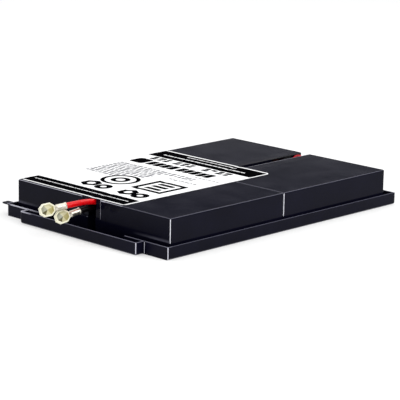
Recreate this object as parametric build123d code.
"""UPS battery cartridge: four slim 6 V blocks on a folded steel tray.

Millimetres. X runs across the cartridge, +Y to the rear, +Z up. The leads leave the front, at -Y.
The origin is on the underside, at the middle of the box round the cartridge without its leads.
"""
from build123d import *
import os

# Battery block: it lies on its side, so its height runs across the cartridge
block_length = 150.6
block_thickness = 34.5
block_height = 99.5
case_edge_radius = 1.5
seam_gap = 0.15

# Lid, which closes the case and faces the channel
lid_height = 14.0
lid_edge_break = 1.0
pocket_length = 48.0
pocket_height = 17.0
pocket_depth = 6.5
pocket_top_wall = 1.2
pocket_end_wall = 1.0
pocket_corner_radius = 1.5
end_recess_depth = 1.6
recess_slope_run = 1.6
recess_slope_rise = 0.9

# Vent strip on the lid
strip_length = 46.0
strip_width = 18.0
strip_thickness = 1.4
strip_clearance = 0.2
strip_corner_radius = 2.0
vent_slot_length = 7.0
vent_slot_width = 1.0
vent_slot_offset = 7.5

# Tab terminals
terminal_from_end = 34.0
tab_width = 6.35
tab_thickness = 0.8
tab_height = 7.95
tab_tip_chamfer = 0.7
foot_length = 9.0
foot_width = 5.0
foot_thickness = 0.8
seal_radius = 6.4
seal_thickness = 0.6
seal_clearance = 0.1

# Flag receptacles
receptacle_width = 7.7
receptacle_length = 7.4
receptacle_under = 0.4
receptacle_over = 1.3
receptacle_clearance = 0.05
receptacle_standoff = 0.2
receptacle_slit = 1.2
flag_centre_height = 4.6
flag_reach = 12.0
flag_bore_depth = 3.0
flag_neck_width = 3.0
flag_neck_root = 1.0
flag_wall = 0.45

# How the blocks stand together
channel_width = 10.5
block_gap = 0.4

# Tray, folded from one sheet
gauge = 1.2
bend_inner_radius = 0.8
wall_height = 12.0
left_clearance = 7.3
right_clearance = 2.8
front_clearance = 5.3
rear_clearance = 11.6
flap_length = 57.0
sheet_slit = 0.4
relief_radius = 1.2
bay_width = 160.0
bay_depth = 10.0
bay_flange = 2.4
flange_edge_radius = 0.8
ear_reach = 8.0
ear_length = 8.0
ear_corner_radius = 1.5
sheet_edge_break = 0.3

# Foam tape under each block
tape_thickness = 1.0
tape_length = 120.0
tape_width = 18.0
tape_spacing = 52.0

# Wires
lead_diameter = 5.4
jumper_diameter = 3.4
wire_fit = 0.05
wire_sides = 16

# Crimp terminals of the leads
crimp_length = 10.0
crimp_taper_length = 1.4
crimp_taper_radius = 1.7
crimp_radius = 3.1
crimp_flare_radius = 3.5
crimp_flare_length = 1.2
crimp_bore_depth = 4.0
tongue_thickness = 1.0
tongue_width = 4.6
ring_radius = 4.0
ring_hole_radius = 2.1
terminal_facing = (0.676, -0.698, 0.236)

# Octagonal caps over the tongues
cap_half_length = 7.4
cap_half_width = 6.1
cap_flat_length = 6.8
cap_end_width = 5.7
cap_thickness = 3.8
cap_edge_chamfer = 0.4
cap_rim = 0.9
cap_dish_depth = 0.75
cap_dish_slope = 62
cap_clearance = 0.2

# Label
label_width = 145.5
label_length = 198.0
label_from_left = 1.0
label_from_front = 2.6
label_thickness = 0.25
label_corner_radius = 5.0
ink_thickness = 0.06
ink_side_margin = 2.5
header_margin = 3.8
header_depth = 23.4
footer_margin = 5.5
footer_depth = 15.4
ink_corner_radius = 2.0

# Places that follow from the sizes
bend_outer_radius = bend_inner_radius + gauge
blocks_width = 2 * block_height + channel_width
blocks_length = 2 * block_length + block_gap
tray_width = blocks_width + left_clearance + right_clearance + 2 * gauge
tray_length = blocks_length + front_clearance + rear_clearance + 2 * gauge
tray_left = (ear_reach - tray_width) / 2
tray_right = tray_left + tray_width
bay_front = -(tray_length + bay_depth) / 2
tray_front = bay_front + bay_depth
tray_rear = tray_front + tray_length
bay_left = (tray_left + tray_right - bay_width) / 2
bay_right = bay_left + bay_width
blocks_left = tray_left + gauge + left_clearance
blocks_right = blocks_left + blocks_width
blocks_front = tray_front + gauge + front_clearance
blocks_rear = blocks_front + blocks_length
blocks_bottom = gauge + tape_thickness
blocks_top = blocks_bottom + block_thickness
case_height = block_height - lid_height
pocket_floor = block_height - pocket_depth
pocket_high = block_thickness - pocket_top_wall
pocket_low = pocket_high - pocket_height
terminal_level = (pocket_low + pocket_high) / 2
lid_middle = (block_length / 2, block_thickness / 2)
strip_floor = block_height - strip_thickness
ring_from_barrel = crimp_taper_length + cap_clearance + cap_half_length

# Wires: steps from the connector where one starts, and for the end of the rear jumper from the
# connector where it ends; the two front jumpers pass the pockets' end walls in the channel
black_steps = [(0, 0, 0), (0, -8.0, 0), (5.6, -20.5, -0.3), (7.4, -33.1, 0.3), (6.0, -42.89, -1.18)]
red_steps = [(0, 0, 0), (0, -7.0, 0), (-6.4, -19.5, 5.7), (-6.6, -33.5, 7.3),
             (-6.6, -48.65, 7.6), (-9.6, -58.6, 6.5)]
front_jumper_run = 8.0
front_jumper_pass = 6.0
left_sag = (4.5, 0, -2.2)
right_sag = (-4.5, 0, -1.8)
rear_steps = [(0, 0, 0), (0, 6.85, 0), (3.4, 14.35, 7.7)]
rear_end_steps = [(-3.4, 14.35, 7.7), (0, 6.85, 0), (0, 0, 0)]
arc_share = 0.45


def solid_box(low, high):
    """Box between two corners."""
    size = [high[i] - low[i] for i in range(3)]
    middle = [(high[i] + low[i]) / 2 for i in range(3)]
    return Pos(*middle) * Box(*size)


def save(shape, name):
    """Write one node as a STEP file."""
    shape.label = name
    export_step(shape, os.path.join("parts", name + ".step"))


def folded_box(low, high, radius, rear_bend):
    """Box with rounded front corners and rounded bottom edges, as a folded sheet has them."""
    body = solid_box(low, high)
    bottom = body.edges().group_by(Axis.Z)[0]
    rounded = list(bottom.filter_by(Axis.Y))
    rounded += list(body.edges().filter_by(Axis.Z).group_by(Axis.Y)[0])
    cross_bends = bottom.filter_by(Axis.X).sort_by(Axis.Y)
    rounded.append(cross_bends[-1] if rear_bend else cross_bends[0])
    return fillet(rounded, radius)


def tray_pan():
    """Floor with its side and rear walls and the flaps that wrap round the front corners."""
    outer = folded_box((tray_left, tray_front, 0), (tray_right, tray_rear, wall_height),
                       bend_outer_radius, True)
    inner = folded_box((tray_left + gauge, tray_front + gauge, gauge),
                       (tray_right - gauge, tray_rear - gauge, wall_height + gauge),
                       bend_inner_radius, True)
    pan = outer - inner
    pan -= solid_box((tray_left + flap_length, tray_front - gauge, gauge),
                     (tray_right - flap_length, tray_front + 2 * gauge, wall_height + gauge))
    return chamfer(pan.edges().group_by(Axis.Z)[-1], sheet_edge_break)


def bay_shell():
    """Floor tongue folded up in front as a shallow bay, with returns at both ends."""
    back = tray_front - sheet_slit
    outer = folded_box((bay_left, bay_front, 0), (bay_right, back, wall_height),
                       bend_outer_radius, False)
    inner = folded_box((bay_left + gauge, bay_front + gauge, gauge),
                       (bay_right - gauge, back + gauge, wall_height + gauge),
                       bend_inner_radius, False)
    walls = outer - inner
    walls = chamfer(walls.edges().group_by(Axis.Z)[-1], sheet_edge_break)
    for side, end in ((-1, bay_left), (1, bay_right)):
        walls += return_flange(side, end, back)
    tongue = solid_box((bay_left + bend_outer_radius, bay_front + bend_outer_radius, 0),
                       (bay_right - bend_outer_radius, tray_front + 2 * gauge, gauge))
    return walls + tongue


def return_flange(side, end, back):
    """Narrow flange at the end of a bay return, bent outward along the flap."""
    x_low, x_high = sorted((end - side * gauge, end + side * bay_flange))
    flange = solid_box((x_low, back - gauge, gauge), (x_high, back, wall_height - sheet_edge_break))
    front_edges = flange.edges().filter_by(Axis.Z).group_by(Axis.Y)[0]
    outer_edge = front_edges.sort_by(Axis.X)[-1 if side > 0 else 0]
    return fillet(outer_edge, flange_edge_radius)


def tray_slits():
    """Gaps that a folded sheet shows: under and behind the flaps, and at the rear corners."""
    cuts = []
    for side, corner, end, bay_end in ((1, tray_left, tray_left + flap_length, bay_left),
                                       (-1, tray_right, tray_right - flap_length, bay_right)):
        start = corner + side * 2 * bend_outer_radius
        bay_start = bay_end + side * bend_outer_radius
        x_low, x_high = sorted((bay_start, end))
        cuts.append(solid_box((x_low, tray_front - gauge, gauge),
                              (x_high, tray_front + gauge, gauge + sheet_slit)))
        x_low, x_high = sorted((start, bay_start))
        cuts.append(solid_box((x_low, tray_front + gauge, -gauge),
                              (x_high, tray_front + gauge + sheet_slit, 2 * gauge)))
        wall_x = corner + side * (gauge + sheet_slit / 2)
        slit_start = tray_rear - bend_outer_radius - gauge
        cuts.append(solid_box((wall_x - sheet_slit / 2, slit_start, gauge),
                              (wall_x + sheet_slit / 2, tray_rear + gauge, wall_height + gauge)))
        relief = Pos(corner + side * bend_outer_radius, tray_rear - bend_outer_radius, gauge)
        cuts.append(relief * Cylinder(relief_radius, 2 * gauge + 2 * bend_outer_radius))
    return cuts


def tray_ear():
    """Small ear folded outward from the top of the left wall at its front end."""
    low = (tray_left - ear_reach, tray_front, wall_height - gauge)
    high = (tray_left + gauge, tray_front + ear_length, wall_height)
    ear = solid_box(low, high)
    tips = ear.edges().filter_by(Axis.Z).group_by(Axis.X)[0]
    return fillet(tips, ear_corner_radius)


def make_tray():
    """Whole tray, one folded sheet."""
    tray = tray_pan() + bay_shell()
    for cut in tray_slits():
        tray -= cut
    return tray + tray_ear()


def make_case():
    """Moulded container of one block: its foot at x = 0, open end towards the lid."""
    case = solid_box((0, 0, 0), (case_height - seam_gap, block_length, block_thickness))
    foot = case.faces().sort_by(Axis.X)[0].edges()
    return fillet(list(case.edges().filter_by(Axis.X)) + list(foot), case_edge_radius)


def pocket_cut():
    """Pocket for the terminal at the low end of the lid, and the recess in the lid's end."""
    pocket = solid_box((pocket_floor, end_recess_depth + pocket_end_wall, pocket_low),
                       (block_height + pocket_depth, pocket_length, pocket_high))
    pocket = fillet(pocket.edges().filter_by(Axis.X), pocket_corner_radius)
    slope_start, beyond = pocket_floor - recess_slope_run, block_height + pocket_depth
    plan = [(slope_start, -end_recess_depth), (slope_start, 0), (pocket_floor, recess_slope_rise),
            (pocket_floor, end_recess_depth), (beyond, end_recess_depth), (beyond, -end_recess_depth)]
    recess = extrude(make_face(Polyline(*plan, close=True)), block_thickness)
    return pocket + Pos(0, 0, pocket_low) * recess


def strip_outline(length, width, radius):
    """Rounded rectangle on the lid's face, in the plane across X."""
    return Plane.YZ * Pos(*lid_middle) * RectangleRounded(length, width, radius)


def across(x, y, z):
    """Place whose local Z points out of the lid."""
    return Plane(origin=(x, y, z), x_dir=(0, 1, 0), z_dir=(1, 0, 0))


def make_lid():
    """Moulded lid with a pocket at each end and a seat for the vent strip."""
    lid = solid_box((case_height, 0, 0), (block_height, block_length, block_thickness))
    lid = fillet(lid.edges().filter_by(Axis.X), case_edge_radius)
    lid = chamfer(lid.faces().sort_by(Axis.X)[-1].edges(), lid_edge_break)
    pocket = pocket_cut()
    lid -= pocket
    lid -= mirror(pocket, about=Plane.XZ.offset(-block_length / 2))
    seat = strip_outline(strip_length + 2 * strip_clearance, strip_width + 2 * strip_clearance,
                         strip_corner_radius + strip_clearance)
    return lid - Pos(strip_floor, 0, 0) * extrude(seat, 2 * strip_thickness)


def make_vent_strip():
    """Flat strip welded in its seat over the sealed valves, with two slots that let gas out."""
    strip = extrude(strip_outline(strip_length, strip_width, strip_corner_radius), strip_thickness)
    strip = Pos(strip_floor, 0, 0) * strip
    for side in (-1, 1):
        y = lid_middle[0] + side * vent_slot_offset
        slot = across(strip_floor - strip_thickness, y, lid_middle[1])
        strip -= slot * extrude(Rectangle(vent_slot_length, vent_slot_width), 3 * strip_thickness)
    return strip


def make_terminal():
    """Tab with its foot, at the low end of the block."""
    y = terminal_from_end
    foot = solid_box((pocket_floor, y - foot_length / 2, terminal_level - foot_width / 2),
                     (pocket_floor + foot_thickness, y + foot_length / 2,
                      terminal_level + foot_width / 2))
    tip = pocket_floor + foot_thickness + tab_height
    tab = solid_box((pocket_floor, y - tab_width / 2, terminal_level - tab_thickness / 2),
                    (tip, y + tab_width / 2, terminal_level + tab_thickness / 2))
    corners = tab.edges().filter_by(Axis.Z).group_by(Axis.X)[-1]
    return foot + chamfer(corners, tab_tip_chamfer)


def make_seal():
    """Coloured seal round the foot of a tab."""
    place = across(pocket_floor, terminal_from_end, terminal_level)
    opening = Rectangle(foot_length + 2 * seal_clearance, foot_width + 2 * seal_clearance)
    return place * extrude(Circle(seal_radius) - opening, seal_thickness)


def receptacle_profile():
    """Section of the receptacle round the tab: a flat back and two curled edges."""
    slot = tab_thickness / 2 + receptacle_clearance
    low = -slot - receptacle_under
    high = slot + receptacle_over
    outline = Rectangle(receptacle_width, high - low)
    body = Pos(0, (low + high) / 2) * chamfer(outline.vertices(), receptacle_over / 2)
    body -= Rectangle(tab_width + 2 * receptacle_clearance, 2 * slot)
    body -= Pos(0, high) * Rectangle(receptacle_slit, 2 * receptacle_over)
    return body


def make_receptacle(wire_diameter):
    """Flag receptacle on the tab of the low end; its barrel points to that end."""
    base = pocket_floor + foot_thickness + receptacle_standoff
    place = across(base, terminal_from_end, terminal_level)
    body = place * extrude(receptacle_profile(), receptacle_length)
    slot = tab_thickness / 2 + receptacle_clearance
    axis_x = pocket_floor + flag_centre_height
    tip_y = terminal_from_end - flag_reach
    radius = wire_diameter / 2 + wire_fit + flag_wall
    side_y = terminal_from_end - receptacle_width / 2
    barrel_start = side_y - receptacle_over / 2
    back_top = terminal_level - slot
    neck = solid_box((axis_x - flag_neck_width / 2, barrel_start - flag_neck_root,
                      back_top - receptacle_under),
                     (axis_x + flag_neck_width / 2, side_y + receptacle_over, back_top))
    along = Plane(origin=(axis_x, tip_y, terminal_level), z_dir=(0, 1, 0))
    barrel = along * extrude(Circle(radius), barrel_start - tip_y)
    bore = along * extrude(Circle(wire_diameter / 2 + wire_fit), flag_bore_depth)
    return body + neck + barrel - bore


def place_block(column, row):
    """Where a block lies: the right column is the same block turned half round."""
    y = blocks_front + row * (block_length + block_gap)
    if column == 0:
        return Location((blocks_left, y, blocks_bottom))
    return Location((blocks_right, y + block_length, blocks_bottom), (0, 0, 180))


def other_end(shape):
    """Same shape at the high end of the block."""
    return mirror(shape, about=Plane.XZ.offset(-block_length / 2))


def make_blocks():
    """All pieces of the four blocks, by node name."""
    case, lid, strip = make_case(), make_lid(), make_vent_strip()
    terminal, seal = make_terminal(), make_seal()
    pieces = {}
    positive_seals, negative_seals = [], []
    for column, column_name in enumerate(("left", "right")):
        for row, row_name in enumerate(("front", "rear")):
            name = row_name + "_" + column_name
            place = place_block(column, row)
            pieces["case_" + name] = place * case
            pieces["lid_" + name] = place * lid
            pieces["vent_strip_" + name] = place * strip
            pieces["negative_tab_" + name] = place * terminal
            pieces["positive_tab_" + name] = place * other_end(terminal)
            negative_seals.append(place * seal)
            positive_seals.append(place * other_end(seal))
            lead_end = "negative" if column == 0 else "positive"
            for pole in ("negative", "positive"):
                has_lead = row == 0 and pole == lead_end
                flag = make_receptacle(lead_diameter if has_lead else jumper_diameter)
                if pole == "positive":
                    flag = other_end(flag)
                pieces[pole + "_receptacle_" + name] = place * flag
            pieces["tapes_" + name] = make_tapes(column, row)
    pieces["positive_seals"] = Compound(children=positive_seals)
    pieces["negative_seals"] = Compound(children=negative_seals)
    return pieces


def make_tapes(column, row):
    """Two foam tape strips between a block and the tray floor."""
    x = blocks_left + case_height / 2
    if column == 1:
        x = blocks_right - case_height / 2
    y = blocks_front + row * (block_length + block_gap) + block_length / 2
    strips = []
    for side in (-1, 1):
        middle = x + side * tape_spacing / 2
        strips.append(solid_box((middle - tape_width / 2, y - tape_length / 2, gauge),
                                (middle + tape_width / 2, y + tape_length / 2, blocks_bottom)))
    return Compound(children=strips)


def connector_mouth(column, row, rear_end):
    """Point inside the barrel of a connector where its wire starts."""
    reach = pocket_floor + flag_centre_height
    x = blocks_left + reach if column == 0 else blocks_right - reach
    inward = terminal_from_end - flag_reach + flag_bore_depth
    y = blocks_front + row * (block_length + block_gap)
    y += block_length - inward if rear_end else inward
    return Vector(x, y, blocks_bottom + terminal_level)


def wire_routes():
    """Points of each wire, by its name."""
    routes = {"black_lead": [connector_mouth(0, 0, False) + Vector(*s) for s in black_steps],
              "red_lead": [connector_mouth(1, 0, False) + Vector(*s) for s in red_steps]}
    run, half_pass = Vector(0, front_jumper_run, 0), Vector(0, front_jumper_pass, 0)
    for column, name, sag in ((0, "left_jumper", left_sag), (1, "right_jumper", right_sag)):
        start, finish = connector_mouth(column, 0, True), connector_mouth(column, 1, False)
        middle = (start + finish) / 2 + Vector(*sag)
        routes[name] = [start, start + run, middle - half_pass, middle + half_pass,
                        finish - run, finish]
    routes["rear_jumper"] = [connector_mouth(0, 1, True) + Vector(*s) for s in rear_steps]
    routes["rear_jumper"] += [connector_mouth(1, 1, True) + Vector(*s) for s in rear_end_steps]
    return routes


def make_wire(name, spots, diameter):
    """Many-sided tube along straight runs joined by tangent arcs, as large as the runs allow."""
    runs = [spots[i + 1] - spots[i] for i in range(len(spots) - 1)]
    radii = []
    for before, after in zip(runs, runs[1:]):
        half_turn = before.get_angle(after) / 2
        opening = before.rotate(Axis(Vector(0, 0, 0), before.cross(after)), half_turn)
        tangent = opening.cross(before).length / opening.dot(before)
        radii.append(arc_share * min(before.length, after.length) / tangent)
    path = FilletPolyline(*spots, radius=radii)
    start = Plane(origin=spots[0], z_dir=runs[0])
    section = RegularPolygon(diameter / 2, wire_sides)
    tube = sweep(start * section, path=path)
    print(name, "length", round(path.length, 1), "radii", [round(r, 1) for r in radii],
          "volume ratio", round(tube.volume / (section.area * path.length), 4))
    return tube


def lead_end_plane(points):
    """Plane at the end of a lead: Z along the wire, Y across the flat side of the terminal."""
    end = points[-1]
    along = (end - points[-2]).normalized()
    facing = Vector(*terminal_facing)
    flat = (facing - along * facing.dot(along)).normalized()
    return Plane(origin=end - along * crimp_bore_depth, x_dir=flat.cross(along), z_dir=along)


def make_crimp():
    """Crimp terminal along Z: flared barrel, then a flat tongue with its ring."""
    barrel = extrude(Circle(crimp_radius), crimp_length)
    flare = loft([Circle(crimp_flare_radius), Pos(0, 0, crimp_flare_length) * Circle(crimp_radius)])
    barrel += flare
    barrel -= extrude(Circle(lead_diameter / 2 + wire_fit), crimp_bore_depth)
    ring_z = crimp_length + ring_from_barrel
    taper = loft([Pos(0, 0, crimp_length) * Circle(crimp_radius),
                  Pos(0, 0, crimp_length + crimp_taper_length) * Circle(crimp_taper_radius)])
    tongue = solid_box((-tongue_width / 2, -tongue_thickness / 2, crimp_length),
                       (tongue_width / 2, tongue_thickness / 2, ring_z))
    ring = Plane.XZ * Pos(0, ring_z) * Circle(ring_radius)
    hole = Plane.XZ * Pos(0, ring_z) * Circle(ring_hole_radius)
    body = barrel + taper + tongue + extrude(ring, tongue_thickness / 2, both=True)
    return body - extrude(hole, tongue_thickness, both=True)


def octagon(inset, level):
    """Outline of the cap, drawn in by an inset, at a level along local Z."""
    x, z = cap_half_width - inset, cap_half_length - inset
    flat, end = cap_flat_length / 2 - inset / 2, cap_end_width / 2 - inset / 2
    corners = [(x, flat), (end, z), (-end, z), (-x, flat), (-x, -flat), (-end, -z), (end, -z),
               (x, -flat)]
    return Pos(0, 0, level) * make_face(Polyline(*corners, close=True))


def make_cap():
    """Octagonal moulded cap with dished faces, hollow for the tongue and open to the barrel."""
    half = cap_thickness / 2
    body = extrude(octagon(0, 0), half, both=True)
    body = chamfer(body.faces().filter_by(Axis.Z).edges(), cap_edge_chamfer)
    for side in (-1, 1):
        rim = octagon(cap_edge_chamfer + cap_rim, side * half)
        body -= extrude(rim, cap_dish_depth, dir=(0, 0, -side), taper=cap_dish_slope)
    hollow = tongue_thickness / 2 + cap_clearance
    cavity = extrude(Circle(ring_radius + cap_clearance), hollow, both=True)
    reach = ring_from_barrel + cap_half_length
    throat = Pos(0, -reach / 2) * Rectangle(tongue_width + 2 * cap_clearance, reach)
    cavity += extrude(throat, hollow, both=True)
    body -= cavity
    return Pos(0, 0, crimp_length + ring_from_barrel) * (Rot(90, 0, 0) * body)


def make_label():
    """Label sheet that lies over both columns."""
    x = blocks_left + label_from_left + label_width / 2
    y = blocks_front + label_from_front + label_length / 2
    outline = Pos(x, y, blocks_top) * RectangleRounded(label_width, label_length, label_corner_radius)
    return extrude(outline, label_thickness)


def make_label_print():
    """Two solid bars of ink, at the front and rear ends of the label."""
    x = blocks_left + label_from_left + label_width / 2
    front = blocks_front + label_from_front + footer_margin
    rear = blocks_front + label_from_front + label_length - header_margin
    footer = (front + footer_depth / 2, footer_depth)
    header = (rear - header_depth / 2, header_depth)
    bars = []
    for y, depth in (footer, header):
        bar = RectangleRounded(label_width - 2 * ink_side_margin, depth, ink_corner_radius)
        bars.append(extrude(Pos(x, y, blocks_top + label_thickness) * bar, ink_thickness))
    return Compound(children=bars)


def main():
    """Build every node and write it."""
    os.makedirs("parts", exist_ok=True)
    save(make_tray(), "tray")
    for name, piece in make_blocks().items():
        save(piece, name)
    routes = wire_routes()
    for name, points in routes.items():
        diameter = lead_diameter if name.endswith("lead") else jumper_diameter
        save(make_wire(name, points, diameter), name)
    for colour in ("black", "red"):
        place = lead_end_plane(routes[colour + "_lead"])
        save(place * make_crimp(), colour + "_crimp")
        save(place * make_cap(), colour + "_cap")
    save(make_label(), "label")
    save(make_label_print(), "label_print")


main()
